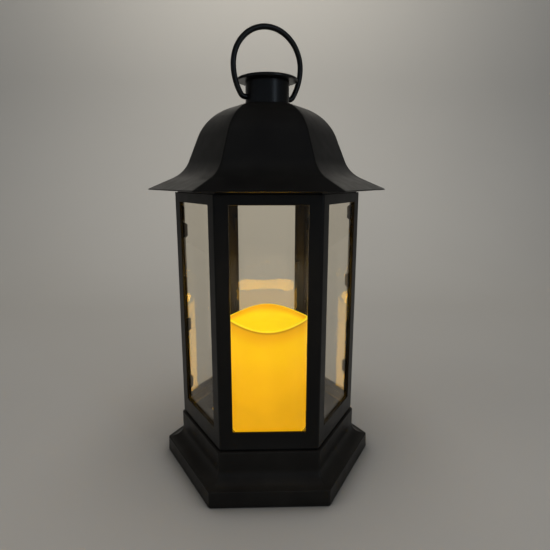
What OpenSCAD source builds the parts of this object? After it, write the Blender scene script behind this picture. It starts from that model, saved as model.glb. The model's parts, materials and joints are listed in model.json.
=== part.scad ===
// Hexagonal lantern with an LED pillar candle: pressed ogee roof with a neck, cap and swinging bail,
// six glazed panels, and a moulded base that holds the cells and the switch.
// Millimetres. The origin is the middle of the footprint on the table, +Z is up, the front looks along -Y.

/* [Body] */
// Width of the body across its flat faces
body_flats = 149.2; // [140:0.2:170]
// Thickness of the window panels
panel_t = 2; // [1.5:0.1:3]
// Width of each window
window_w = 63.2; // [50:0.2:66]
// Height of each window
window_h = 194.5; // [140:0.5:260]
// Height of the panel below its window
sill_h = 15.8; // [14:0.2:40]
// Height of the panel above its window
lintel_h = 8.4; // [5:0.2:30]

/* [Panes] */
// Thickness of the panes
pane_t = 2; // [1:0.1:3]
// Overlap of a pane behind the edge of its window
pane_lap = 3; // [2:0.1:4]
// Height of a pane clip
clip_h = 14; // [8:0.5:18]
// Thickness of the sheet that the clips are bent from
clip_t = 1.5; // [0.8:0.1:2]

/* [Base] */
// Gap between the base band and the table
band_gap = 0.8; // [0.4:0.1:1.5]
// Height of the top of the straight band
band_top = 15.3; // [12:0.1:20]
// Radius of the hollow cove above the band
cove_r = 13; // [8:0.5:15]
// Flat ledge between the cove and the band
cove_ledge = 0.9; // [0.4:0.1:3]
// Height of the top of the base
step_top = 43.9; // [42:0.1:60]
// How far the rim of the base stands out past the body
rim_proud = 1.6; // [0.8:0.1:4]
// Wall of the base moulding
base_wall = 2; // [1.6:0.1:3]
// Width of the deck that the body stands on
deck_w = 26; // [24:0.5:32]
// Height of the shadow gap between base and body
reveal_h = 2.2; // [1.5:0.1:4]
// Depth of the shadow gap
reveal_d = 1.2; // [0.6:0.1:1.5]
// Height of the floor pan's upstand inside the panels
upstand_h = 9; // [5:0.5:10]
// Thickness of the folded sheet in the pan and the collar
sheet_t = 1.2; // [0.8:0.1:1.6]

/* [Roof] */
// Overhang of the eaves past the body
eave_out = 21.6; // [12:0.2:30]
// Height of the eaves' lower edge above the body
eave_gap = 1.9; // [0.5:0.1:4]
// Height of the roof from eaves to crown
roof_h = 73.8; // [68:0.2:85]
// Thickness of the roof sheet
roof_t = 1.2; // [0.8:0.1:2]
// Where the flare starts, inside the body's faces
flare_in = 8.2; // [5:0.2:11]
// Rise of the flare from the eaves
flare_rise = 14.5; // [12:0.1:18]
// Radius of the hollow sweep into the flare
flare_r = 27; // [16:0.5:32]
// Reach of the crown from the neck to the shoulder
shoulder_out = 27.5; // [26:0.1:31]
// Fall of the crown from the neck to the shoulder
shoulder_drop = 5.6; // [4:0.1:8]
// Radius of the round shoulder
shoulder_r = 42; // [24:0.5:46]

/* [Neck and bail] */
// Outside diameter of the neck
neck_d = 39; // [34:0.5:46]
// Wall of the neck tube
neck_wall = 1.2; // [1:0.1:2]
// Height of the neck above the crown
neck_h = 19.7; // [17:0.1:30]
// Brim of the cap past the neck
cap_brim = 7.5; // [4:0.1:10]
// Thickness of the cap's edge
cap_t = 2.4; // [1.6:0.1:4]
// Rise of the cap's domed top
cap_dome = 2.4; // [1:0.1:5]
// Diameter of the bail wire
bail_wire = 4.8; // [3:0.1:6]
// Clearance between the bail and the cap's edge
bail_clear = 2.6; // [2:0.1:6]
// Radius of the bail's drawn-in sides
bail_side_r = 45; // [40:0.2:54]
// Radius of the bends at the bail's ends
bail_bend_r = 5; // [4:0.1:8]
// Height of the bail's pivot above the crown
pivot_rise = 6; // [5:0.1:9]
// Radial clearance of the bail's ends in the neck
pivot_fit = 0.05; // [0.02:0.01:0.1]
// Turn of the pivot from the left-right line
bail_turn = 22; // [0:1:30]
// Lean of the standing bail towards the front
bail_lean = 3; // [0:0.5:10]

/* [Candle] */
// Diameter of the candle
candle_d = 80; // [60:0.5:90]
// Mean height of the candle
candle_h = 120.3; // [90:0.1:180]
// Size of the three waves in the rim
rim_wave = 2.2; // [0:0.1:4]
// Rise of the rim from the middle to the back
rim_tilt = 0.1; // [0:0.1:4]
// Wall of the candle
candle_wall = 3.5; // [2.5:0.1:6]
// Wall of the thinner rim
rim_wall = 2.5; // [1.5:0.1:4]
// Depth of the dish in the candle's top
dish_depth = 13.5; // [8:0.5:20]
// Thickness of the dish
dish_t = 3; // [2:0.1:5]
// Height of the LED above the candle's foot
led_rise = 72; // [50:0.5:85]

/* [Power] */
// Diameter of a cell
cell_d = 14.5; // [10:0.1:17]
// Length of a cell
cell_l = 50.5; // [44:0.5:56]
// Wall of the battery box
box_wall = 1.6; // [1.2:0.1:2.4]
// Length of the contact springs
spring_l = 5.5; // [3:0.1:8]
// Travel of the switch knob
switch_travel = 6; // [3:0.5:8]
// Thickness of the bottom plate
plate_t = 2; // [1.6:0.1:3]
// Height of the bottom plate above the table
plate_z = 3; // [2.4:0.1:5]
// Diameter of the rubber feet
foot_d = 14; // [10:0.5:18]

/* [Screws] */
// Diameter of the plate and deck screws
screw_d = 3; // [2:0.1:4]
// Height of the screw heads
head_h = 1.6; // [1:0.1:2]

/* [Hidden] */

$fn = 64;
// Steps in each rounded corner of an outline
arc_steps = 8;
// Clearance between pieces that are assembled by hand
fit_gap = 0.2;
// Cut that runs clear of a face
over = 1;

coat = "#1b1c1f";
wax = "#f0ad1c";
clear = [0.82, 0.86, 0.85, 0.35];
plastic = "#26272a";
steel = "#b9bcc0";

body_ap = body_flats / 2;
step_ap = body_ap + rim_proud;
base_ap = step_ap + cove_r + cove_ledge;
tray_ap = body_ap - reveal_d;
inner_ap = body_ap - panel_t;
eave_ap = body_ap + eave_out;
flare_ap = body_ap - flare_in;

body_z = step_top + reveal_h;
panel_h = sill_h + window_h + lintel_h;
body_top = body_z + panel_h;
window_z = body_z + sill_h;
pane_w = window_w + 2 * pane_lap;
pane_h = window_h + 2 * pane_lap;
pane_z = window_z - pane_lap;
pane_top = pane_z + pane_h;

// Clip places up each long edge of a pane, as shares of the window's height
clip_low_edge = [0.14, 0.604, 0.946];
clip_high_edge = [0.063, 0.376, 0.859];
clip_slack = 0.1;

neck_r = neck_d / 2;
eave_bottom = body_top + eave_gap;
eave_z = eave_bottom + roof_t;
crown_z = eave_z + roof_h;
shoulder_ap = neck_r + shoulder_out;
cap_z = crown_z + neck_h;
cap_r = neck_r + cap_brim;
neck_flange = 6;
neck_flange_r = neck_r + neck_flange;
pivot_z = crown_z + pivot_rise;

bail_half = cap_r + bail_clear + bail_wire / 2;
pin_step = 0.2;
bail_pin = bail_wire - pin_step;
pin_root = 0.4;
pin_out = 1.5;
pin_in = 5;
bail_end = neck_r + pin_out;
bail_tip = neck_r - pin_in;
bail_sweep = acos((bail_end - bail_half + bail_side_r) / (bail_side_r - bail_bend_r));
bail_drop = (bail_side_r - bail_bend_r) * sin(bail_sweep) + bail_bend_r;
bail_head_d = bail_wire * 4 / 3;
bail_head_t = bail_wire / 4;

deck_t = base_wall;
deck_z = step_top - deck_t;
deck_hole_ap = step_ap - deck_w;
band_draft = 0.5;
plate_top = plate_z + plate_t;
plate_ap = base_ap - base_wall - fit_gap;
boss_r = screw_d * 1.4;
boss_clear = 1.5;
boss_place = step_ap - base_wall - boss_r - boss_clear;
boss_depth = 12;
deck_screw_place = deck_hole_ap + deck_w / 2;
head_r = screw_d;
foot_seat = plate_t * 0.4;
foot_place = plate_ap / cos(30) - foot_d;
lead_d = 1.4;
lead_x = 2;
lead_hole_d = 10;

cell_count = 3;
cell_apart = 0.8;
cell_pitch = cell_d + cell_apart;
cell_slack = 0.3;
contact_t = 0.5;
screw_bay = 9;
box_in_x = cell_l + spring_l + 2 * contact_t + screw_bay;
box_in_y = (cell_count - 1) * cell_pitch + cell_d + 2 * cell_slack;
box_in_h = cell_d + 2 * cell_slack;
box_top = plate_top + box_in_h + box_wall;
cover_seat = box_wall / 2;
cell_z = plate_top + cell_slack + cell_d / 2;
cells_x = -box_in_x / 2 + contact_t + spring_l;
cover_screw_d = 2.5;
cover_screw_x = box_in_x / 2 - screw_bay / 2;

candle_r = candle_d / 2;
pan_clear = 0.8;
pan_ap = deck_hole_ap - fit_gap;
pan_z = box_top + pan_clear;
candle_z = pan_z + sheet_t;
rim_z = candle_z + candle_h;
dish_z = rim_z - dish_depth;
hollow_r = candle_r - candle_wall;
wave_steps = 48;
wave_reach = 1.2;
cup_t = 2.5;
cup_h = 12;
cup_r = hollow_r - fit_gap;
tower_r = 6;
tower_wall = 1.5;
tower_top = candle_z + led_rise;
led_board_r = 9;
led_board_t = 1.2;
led_d = 5;
led_h = 6;

switch_gap = 0.3;
knob_w = 4;
knob_l = 4;
knob_out = 1.4;
knob_tip_z = plate_z - knob_out;
knob_in = 2.5;
switch_wall = 1.6;
switch_x = knob_l + switch_travel + 2 * switch_gap + 2 * switch_wall;
switch_y = knob_w + 2 * switch_gap + 2 * switch_wall;
switch_h = knob_in + switch_gap + switch_wall;
switch_apart = 8;
switch_place = box_in_y / 2 + box_wall + switch_y / 2 + switch_apart;
board_over = 8;
board_t = 1.6;

function unit(v) = v / norm(v);
function left_of(a, b) = let (u = unit(b - a)) [-u.y, u.x];
function heading(angle) = [cos(angle), sin(angle)];

// Arc that rounds the corner p of the path a, p, b
function corner_arc(a, p, b, r) =
    let (
        u = unit(a - p),
        v = unit(b - p),
        half = acos(u * v) / 2,
        c = p + unit(u + v) * r / sin(half),
        s = p + u * r / tan(half) - c,
        e = p + v * r / tan(half) - c,
        start = atan2(s.y, s.x),
        turn = (atan2(e.y, e.x) - start + 540) % 360 - 180
    )
    [for (i = [0 : arc_steps]) c + r * heading(start + turn * i / arc_steps)];

// Corner of a path moved sideways by d
function moved_corner(a, p, b, d) =
    let (m = left_of(a, p), n = left_of(p, b)) p + d * (m + n) / (1 + m * n);

function back_to_front(list) = [for (i = [len(list) - 1 : -1 : 0]) list[i]];

// Roof path from inside the neck over the shoulder and down the flare, moved in by d
roof_path = [
    [neck_r / 2, crown_z + shoulder_drop * neck_r / 2 / shoulder_out],
    [shoulder_ap, crown_z - shoulder_drop],
    [flare_ap, eave_z + flare_rise],
    [eave_ap, eave_z]
];
function roof_line(d) =
    let (
        p = roof_path,
        a = p[0] - d * left_of(p[0], p[1]),
        s = moved_corner(p[0], p[1], p[2], -d),
        f = moved_corner(p[1], p[2], p[3], -d),
        e = p[3] - d * left_of(p[2], p[3])
    )
    concat([a], corner_arc(a, s, f, shoulder_r - d), corner_arc(s, f, e, flare_r + d), [e]);

// Underside of the roof's flare at a given distance from the axis
flare_slope = flare_rise / (eave_ap - flare_ap);
roof_drop = roof_t * sqrt(1 + flare_slope * flare_slope);
function roof_under(ap) = eave_z + (eave_ap - ap) * flare_slope - roof_drop;
collar_lip = 1;
collar_seat = 0.05;
collar_lift = 0.8;
collar_ap = body_ap + collar_lip;
collar_top = roof_under(collar_ap) - collar_seat;
collar_z = pane_top + collar_lift;

// Wavy rim of the candle at an angle round the axis
function rim_height(angle) = rim_z - rim_wave * sin(3 * angle) + rim_tilt * sin(angle);

module hex_prism(ap, h) {
    cylinder(r = ap / cos(30), h = h, $fn = 6);
}

module hex_turn(outline) {
    rotate_extrude($fn = 6) polygon([for (p = outline) [p.x / cos(30), p.y]]);
}

module hex_ring(ap, wall, h) {
    difference() {
        hex_prism(ap, h);
        translate([0, 0, -over]) hex_prism(ap - wall, h + 2 * over);
    }
}

module six_times(first = 0) {
    for (k = [0 : 5]) rotate([0, 0, first + 60 * k]) children();
}

// Pan head screw with its head below z = 0 and its shank above
module screw(d, l, r, h) {
    cylinder(d = d, h = l);
    translate([0, 0, -h]) difference() {
        cylinder(r = r, h = h);
        translate([0, 0, -over]) {
            for (turn = [0, 90]) rotate([0, 0, turn])
                translate([-r * 0.6, -d * 0.1, 0]) cube([r * 1.2, d * 0.2, h * 0.5 + over]);
        }
    }
}

module roof_shell() {
    color(coat) difference() {
        hex_turn(concat(roof_line(0), back_to_front(roof_line(roof_t))));
        translate([0, 0, crown_z - shoulder_drop - roof_t]) cylinder(r = neck_r + clip_slack, h = neck_h);
    }
}

module neck_tube() {
    // The inner flange lies under the crown, just clear of its sloping sheet
    flange_z = crown_z - shoulder_drop * (neck_flange_r - neck_r) / shoulder_out - roof_t * 1.1 - sheet_t;
    color(coat) difference() {
        union() {
            translate([0, 0, flange_z]) cylinder(r = neck_r, h = cap_z - flange_z);
            translate([0, 0, flange_z]) cylinder(r = neck_flange_r, h = sheet_t);
        }
        translate([0, 0, flange_z - over]) cylinder(r = neck_r - neck_wall, h = neck_h * 2);
        rotate([0, 0, bail_turn]) translate([-neck_d, 0, pivot_z]) rotate([0, 90, 0])
            cylinder(d = bail_pin + 2 * pivot_fit, h = 2 * neck_d);
    }
}

module neck_cap() {
    spigot_r = neck_r - neck_wall - clip_slack;
    spigot_h = 4;
    edge = cap_t * 0.3;
    color(coat) translate([0, 0, cap_z]) rotate_extrude() polygon(concat(
        [[0, -spigot_h], [spigot_r, -spigot_h], [spigot_r, 0]],
        [[cap_r - edge, 0], [cap_r, edge], [cap_r, cap_t - edge]],
        [for (i = [0 : arc_steps])
            let (a = 90 * i / arc_steps) [(cap_r - edge) * cos(a), cap_t + cap_dome * sin(a)]]
    ));
}

// Middle line of the bail as arcs, each point with the direction of its outward normal
function bail_run(middle, r, from, to, steps) =
    [for (i = [1 : steps]) let (a = from + (to - from) * i / steps) [middle + r * [cos(a), sin(a)], a]];

// Wire swept along the bail's middle line in the plane of the bail
module bail_loop() {
    bend = [bail_end, bail_bend_r];
    side = [bail_half - bail_side_r, bail_drop];
    line = concat(
        [[[bail_end, 0], -90]],
        bail_run(bend, bail_bend_r, -90, -bail_sweep, arc_steps / 2),
        bail_run(side, bail_side_r, -bail_sweep, 0, arc_steps),
        bail_run([0, bail_drop], bail_half, 0, 180, 3 * arc_steps),
        bail_run([-side.x, side.y], bail_side_r, 180, 180 + bail_sweep, arc_steps),
        bail_run([-bend.x, bend.y], bail_bend_r, 180 + bail_sweep, 270, arc_steps / 2)
    );
    n = 2 * arc_steps;
    last = len(line) - 1;
    ring = [for (j = [0 : n - 1]) bail_wire / 2 * [cos(360 * j / n), sin(360 * j / n)]];
    polyhedron(
        [for (at = line) for (w = ring)
            [at[0].x + w.x * cos(at[1]), w.y, at[0].y + w.x * sin(at[1])]],
        concat(
            [[for (j = [0 : n - 1]) j]],
            [[for (j = [n - 1 : -1 : 0]) last * n + j]],
            [for (i = [0 : last - 1]) for (j = [0 : n - 1])
                [i * n + j, (i + 1) * n + j, i * n + (j + 1) % n]],
            [for (i = [0 : last - 1]) for (j = [0 : n - 1])
                [i * n + (j + 1) % n, (i + 1) * n + j, (i + 1) * n + (j + 1) % n]]
        )
    );
}

module bail() {
    color(coat) translate([0, 0, pivot_z]) rotate([bail_lean, 0, bail_turn]) {
        bail_loop();
        for (side = [0, 1]) mirror([side, 0, 0]) rotate([0, 90, 0]) {
            translate([0, 0, bail_tip]) cylinder(d = bail_pin, h = bail_end - bail_tip + pin_root);
            translate([0, 0, bail_tip - bail_head_t]) cylinder(d = bail_head_d, h = bail_head_t);
        }
    }
}

module roof_collar() {
    color(coat) {
        translate([0, 0, collar_z]) hex_ring(inner_ap - clip_slack, sheet_t, collar_top - collar_z);
        translate([0, 0, collar_top - sheet_t])
            hex_ring(collar_ap, collar_ap - inner_ap + clip_slack + sheet_t / 2, sheet_t);
    }
}

// Window panel, counted round from the front by the right hand, with mitred edges
module panel(k) {
    outer = body_ap * tan(30);
    inner = inner_ap * tan(30);
    color(coat) rotate([0, 0, 60 * k]) translate([0, 0, body_z]) difference() {
        linear_extrude(panel_h)
            polygon([[-outer, -body_ap], [outer, -body_ap], [inner, -inner_ap], [-inner, -inner_ap]]);
        translate([-window_w / 2, -body_ap - over, sill_h]) cube([window_w, panel_t + 2 * over, window_h]);
    }
}

module pane(k) {
    color(clear) rotate([0, 0, 60 * k])
        translate([-pane_w / 2, -inner_ap, pane_z]) cube([pane_w, pane_t, pane_h]);
}

// Bent clip beside a pane, on its right-hand edge, with its middle at z = 0
module clip() {
    leg_x = pane_w / 2 + clip_slack;
    hook_x = window_w / 2 + fit_gap;
    hook_y = pane_t + clip_slack;
    translate([0, -inner_ap, -clip_h / 2]) {
        translate([leg_x, 0, 0]) cube([clip_t, hook_y + clip_t, clip_h]);
        translate([hook_x, hook_y, 0]) cube([leg_x - hook_x + clip_t, clip_t, clip_h]);
    }
}

module pane_clips() {
    color(coat) six_times() {
        for (share = clip_high_edge) translate([0, 0, window_z + share * window_h]) clip();
        for (share = clip_low_edge) translate([0, 0, window_z + share * window_h]) mirror([1, 0, 0]) clip();
    }
}

// Pan that hangs through the deck, with a flange under the panels and an upstand inside them
module floor_tray() {
    color(coat) difference() {
        union() {
            translate([0, 0, step_top]) hex_ring(tray_ap, tray_ap - pan_ap + sheet_t, reveal_h);
            translate([0, 0, body_z]) hex_ring(inner_ap - clip_slack, sheet_t, upstand_h);
            translate([0, 0, pan_z]) hex_ring(pan_ap, sheet_t, body_z - pan_z);
            translate([0, 0, pan_z]) hex_prism(pan_ap, sheet_t);
        }
        translate([0, 0, pan_z - over]) cylinder(d = lead_hole_d, h = sheet_t + 2 * over);
        six_times() translate([deck_screw_place, 0, step_top - over])
            cylinder(d = screw_d, h = reveal_h + 2 * over);
    }
}

module base_moulding() {
    cove = [step_ap + cove_r, band_top + cove_r];
    inside = base_ap - base_wall - band_draft;
    under_r = cove_r + base_wall;
    under_turn = acos((cove.x - inside) / under_r);
    color(coat) difference() {
        union() {
            hex_turn(concat(
                [[base_ap, band_gap], [base_ap - band_draft, band_top]],
                [for (i = [0 : arc_steps]) cove + cove_r * heading(270 - 90 * i / arc_steps)],
                [[step_ap, step_top], [deck_hole_ap, step_top]],
                [[deck_hole_ap, deck_z], [step_ap - base_wall, deck_z]],
                [for (i = [0 : arc_steps]) cove + under_r * heading(180 + under_turn * i / arc_steps)],
                [[base_ap - base_wall, band_gap]]
            ));
            six_times(30) translate([boss_place, 0, plate_top])
                cylinder(r = boss_r, h = deck_z - plate_top + deck_t / 2);
        }
        six_times(30) translate([boss_place, 0, plate_top - over])
            cylinder(d = screw_d, h = boss_depth + over);
        six_times() translate([deck_screw_place, 0, deck_z - over])
            cylinder(d = screw_d + 2 * fit_gap, h = deck_t + 2 * over);
    }
}

module deck_screws() {
    color(steel) six_times() translate([deck_screw_place, 0, deck_z])
        screw(screw_d, deck_t + reveal_h, head_r, head_h);
}

module bottom_plate() {
    through = plate_t + 2 * over;
    color(plastic) difference() {
        translate([0, 0, plate_z]) hex_prism(plate_ap, plate_t);
        translate([0, 0, plate_z - over]) {
            translate([-box_in_x / 2 - cover_seat, -box_in_y / 2 - cover_seat, 0])
                cube([box_in_x + 2 * cover_seat, box_in_y + 2 * cover_seat, through]);
            translate([-knob_l / 2 - switch_gap, switch_place - knob_w / 2 - switch_gap, 0])
                cube([knob_l + switch_travel + 2 * switch_gap, knob_w + 2 * switch_gap, through]);
            six_times(30) translate([boss_place, 0, 0]) cylinder(d = screw_d + 2 * fit_gap, h = through);
            six_times() translate([foot_place, 0, 0]) cylinder(d = foot_d + fit_gap, h = foot_seat + over);
        }
    }
}

module plate_screws() {
    color(steel) six_times(30) translate([boss_place, 0, plate_z])
        screw(screw_d, plate_t + boss_depth - over, head_r, head_h);
}

module feet() {
    edge = 0.8;
    r = foot_d / 2;
    top = plate_z + foot_seat;
    color("#151515") six_times() translate([foot_place, 0, 0]) rotate_extrude()
        polygon([[0, 0], [r - edge, 0], [r, edge], [r, top], [0, top]]);
}

// Space above the wavy rim, as a fan of flat faces round the axis
module above_rim() {
    top = rim_z + rim_wave + rim_tilt + over;
    reach = candle_r * wave_reach;
    turn = 360 / wave_steps;
    low = [for (i = [0 : wave_steps - 1])
        let (a = i * turn) [reach * cos(a), reach * sin(a), rim_z + (rim_height(a) - rim_z) * wave_reach]];
    high = [for (p = low) [p.x, p.y, top + over]];
    n = wave_steps;
    polyhedron(
        concat(low, high, [[0, 0, rim_z], [0, 0, top + over]]),
        concat(
            [for (i = [0 : n - 1]) [2 * n, i, (i + 1) % n]],
            [for (i = [0 : n - 1]) [2 * n + 1, n + (i + 1) % n, n + i]],
            [for (i = [0 : n - 1]) [i, n + i, (i + 1) % n]],
            [for (i = [0 : n - 1]) [n + i, n + (i + 1) % n, (i + 1) % n]]
        )
    );
}

module candle_shell() {
    peak = rim_wave + rim_tilt + over;
    color(wax) difference() {
        translate([0, 0, candle_z]) cylinder(r = candle_r, h = candle_h + peak);
        translate([0, 0, candle_z - over]) cylinder(r = hollow_r, h = dish_z - dish_t - candle_z + over);
        translate([0, 0, dish_z]) cylinder(r = candle_r - rim_wall, h = dish_depth + peak + over);
        above_rim();
    }
}

module candle_cup() {
    color(plastic) translate([0, 0, candle_z]) difference() {
        cylinder(r = cup_r, h = cup_h);
        translate([0, 0, cup_t]) cylinder(r = cup_r - cup_t, h = cup_h);
        translate([0, 0, -over]) cylinder(d = lead_hole_d - 2 * tower_wall, h = cup_t + 2 * over);
    }
}

module led_tower() {
    color(plastic) translate([0, 0, candle_z + cup_t]) difference() {
        cylinder(r = tower_r, h = led_rise - cup_t);
        translate([0, 0, -over]) cylinder(r = tower_r - tower_wall, h = led_rise);
    }
}

module led_board() {
    color("#2f6b3a") translate([0, 0, tower_top]) cylinder(r = led_board_r, h = led_board_t);
}

module led() {
    brim = led_d * 0.08;
    color("#ffd98a") translate([0, 0, tower_top + led_board_t]) {
        cylinder(d = led_d + 2 * brim, h = led_h / 6);
        cylinder(d = led_d, h = led_h);
        translate([0, 0, led_h]) intersection() {
            sphere(d = led_d);
            translate([0, 0, -over / 2]) cylinder(d = led_d * 2, h = led_d);
        }
    }
}

module candle_leads() {
    color("#a8291f") for (side = [-1, 1])
        translate([side * lead_x, 0, box_top]) cylinder(d = lead_d, h = tower_top - box_top);
}

module battery_box() {
    color(plastic) difference() {
        translate([-box_in_x / 2 - box_wall, -box_in_y / 2 - box_wall, plate_top])
            cube([box_in_x + 2 * box_wall, box_in_y + 2 * box_wall, box_in_h + box_wall]);
        difference() {
            translate([-box_in_x / 2, -box_in_y / 2, plate_top - over])
                cube([box_in_x, box_in_y, box_in_h + over]);
            translate([cover_screw_x, 0, plate_top]) cylinder(r = cover_screw_d * 1.2, h = box_in_h);
        }
        translate([cover_screw_x, 0, plate_top - over]) cylinder(d = cover_screw_d, h = box_in_h * 0.6);
    }
}

module cell_rows() {
    for (i = [0 : cell_count - 1])
        translate([0, (i - (cell_count - 1) / 2) * cell_pitch, cell_z]) children();
}

module cells() {
    nub_d = cell_d * 0.36;
    nub_l = 1.2;
    color("#8a8d91") cell_rows() translate([cells_x, 0, 0]) rotate([0, 90, 0]) {
        cylinder(d = cell_d, h = cell_l - nub_l);
        cylinder(d = nub_d, h = cell_l);
    }
}

module contact_springs() {
    color(steel) cell_rows() translate([cells_x - spring_l, 0, 0]) rotate([0, 90, 0])
        cylinder(d1 = cell_d * 0.6, d2 = cell_d * 0.35, h = spring_l);
}

module contact_plates() {
    side = cell_d * 0.7;
    color(steel) cell_rows() {
        translate([cells_x - spring_l - contact_t, -side / 2, -side / 2]) cube([contact_t, side, side]);
        translate([cells_x + cell_l, -side / 2, -side / 2]) cube([contact_t, side, side]);
    }
}

module battery_cover() {
    x = box_in_x + 2 * cover_seat - 2 * fit_gap;
    y = box_in_y + 2 * cover_seat - 2 * fit_gap;
    color(plastic) difference() {
        translate([-x / 2, -y / 2, plate_z]) cube([x, y, plate_t]);
        translate([cover_screw_x, 0, plate_z - over])
            cylinder(d = cover_screw_d + 2 * fit_gap, h = plate_t + 2 * over);
    }
}

module cover_screw() {
    color(steel) translate([cover_screw_x, 0, plate_z])
        screw(cover_screw_d, plate_t + box_in_h * 0.5, cover_screw_d * 0.9, head_h * 0.8);
}

module switch_body() {
    left = -knob_l / 2 - switch_gap - switch_wall;
    color(plastic) translate([left, switch_place - switch_y / 2, plate_top]) difference() {
        cube([switch_x, switch_y, switch_h]);
        translate([switch_wall, switch_wall, -over])
            cube([switch_x - 2 * switch_wall, switch_y - 2 * switch_wall, knob_in + switch_gap + over]);
    }
}

module switch_knob() {
    color("#3a3b3e") translate([-knob_l / 2, switch_place - knob_w / 2, knob_tip_z])
        cube([knob_l, knob_w, plate_top + knob_in - knob_tip_z]);
}

module timer_board() {
    x = switch_x + 2 * board_over;
    y = switch_y + board_over;
    middle = switch_travel / 2;
    color("#2f6b3a") translate([middle - x / 2, switch_place - y / 2, plate_top + switch_h])
        cube([x, y, board_t]);
}

roof_shell();
neck_tube();
neck_cap();
bail();
roof_collar();
panel(0);  // panel_front
panel(1);  // panel_front_right
panel(2);  // panel_back_right
panel(3);  // panel_back
panel(4);  // panel_back_left
panel(5);  // panel_front_left
pane(0);  // pane_front
pane(1);  // pane_front_right
pane(2);  // pane_back_right
pane(3);  // pane_back
pane(4);  // pane_back_left
pane(5);  // pane_front_left
pane_clips();
floor_tray();
base_moulding();
deck_screws();
bottom_plate();
plate_screws();
feet();
candle_shell();
candle_cup();
led_tower();
led_board();
led();
candle_leads();
battery_box();
cells();
contact_springs();
contact_plates();
battery_cover();
cover_screw();
switch_body();
switch_knob();
timer_board();
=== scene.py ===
import json
import math
import bmesh
import bpy
from mathutils import Matrix, Vector


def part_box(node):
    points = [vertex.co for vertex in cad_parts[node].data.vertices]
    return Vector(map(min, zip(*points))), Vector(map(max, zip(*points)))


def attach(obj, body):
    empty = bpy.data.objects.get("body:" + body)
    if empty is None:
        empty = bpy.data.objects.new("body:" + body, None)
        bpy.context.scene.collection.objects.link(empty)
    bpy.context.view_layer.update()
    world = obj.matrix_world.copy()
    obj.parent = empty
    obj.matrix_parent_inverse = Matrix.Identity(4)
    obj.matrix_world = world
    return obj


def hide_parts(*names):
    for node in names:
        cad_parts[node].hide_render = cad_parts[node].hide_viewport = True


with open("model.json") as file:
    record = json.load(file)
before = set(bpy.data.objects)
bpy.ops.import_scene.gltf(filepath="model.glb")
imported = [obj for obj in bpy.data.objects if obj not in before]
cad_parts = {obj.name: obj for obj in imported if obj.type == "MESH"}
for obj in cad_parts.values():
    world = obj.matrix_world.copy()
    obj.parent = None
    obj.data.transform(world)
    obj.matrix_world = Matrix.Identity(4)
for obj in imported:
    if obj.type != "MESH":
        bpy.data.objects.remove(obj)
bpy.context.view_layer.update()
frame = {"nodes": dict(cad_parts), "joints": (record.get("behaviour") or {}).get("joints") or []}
mm = 0.001
sideNames = ["front", "front_right", "back_right", "back", "back_left", "front_left"]  # right-hand order
print("frame loaded:", len(frame["nodes"]), "nodes")

# Node helpers for the finishes


def startMaterial(name):
    mat = bpy.data.materials.new(name)
    mat.use_nodes = True
    return mat, mat.node_tree, mat.node_tree.nodes["Principled BSDF"]


def setSockets(node, values):
    for name, value in values.items():
        node.inputs[name].default_value = value


def addNode(tree, kind, values=None):
    node = tree.nodes.new("ShaderNode" + kind)
    setSockets(node, values or {})
    return node


def link(tree, source, target):
    tree.links.new(source, target)


def feed(tree, shader, values):
    for name, value in values.items():
        link(tree, value, shader.inputs[name])


def objectPlace(tree):
    return addNode(tree, "TexCoord").outputs["Object"]


def splitPlace(tree, place):
    node = addNode(tree, "SeparateXYZ")
    link(tree, place, node.inputs["Vector"])
    return node.outputs


def noise(tree, scale, detail=3.0, stretch=(1, 1, 1)):
    spread = addNode(tree, "Mapping", {"Scale": stretch})
    link(tree, objectPlace(tree), spread.inputs["Vector"])
    cloud = addNode(tree, "TexNoise", {"Scale": scale, "Detail": detail})
    link(tree, spread.outputs["Vector"], cloud.inputs["Vector"])
    return cloud.outputs["Fac"]


def ramp(tree, value, stops):
    node = addNode(tree, "ValToRGB")
    elements = node.color_ramp.elements
    elements.remove(elements[1])
    elements[0].position = stops[0][0]
    elements[0].color = (*stops[0][1], 1)
    for place, colour in stops[1:]:
        elements.new(place).color = (*colour, 1)
    link(tree, value, node.inputs["Fac"])
    return node.outputs["Color"]


def twoTone(tree, value, colours, span=(0.3, 0.7)):
    return ramp(tree, value, list(zip(span, colours)))


def remap(tree, value, low, high, start=0.3, end=0.7):
    node = addNode(tree, "MapRange", {"From Min": start, "From Max": end, "To Min": low, "To Max": high})
    link(tree, value, node.inputs["Value"])
    return node.outputs["Result"]


def share(tree, value, start, end):
    return remap(tree, value, 0, 1, start, end)


def blendColours(tree, amount, first, second):
    node = addNode(tree, "Mix")
    node.data_type = "RGBA"
    link(tree, amount, node.inputs["Factor"])
    for socket, colour in ((node.inputs["A"], first), (node.inputs["B"], second)):
        if isinstance(colour, tuple):
            socket.default_value = (*colour, 1)
        else:
            link(tree, colour, socket)
    return node.outputs["Result"]


def bump(tree, shader, height, strength, depth):
    node = addNode(tree, "Bump", {"Strength": strength, "Distance": depth})
    link(tree, height, node.inputs["Height"])
    link(tree, node.outputs["Normal"], shader.inputs["Normal"])


# Finishes: a noise is given by its scale, detail and stretch, a bump by its strength and depth

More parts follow.
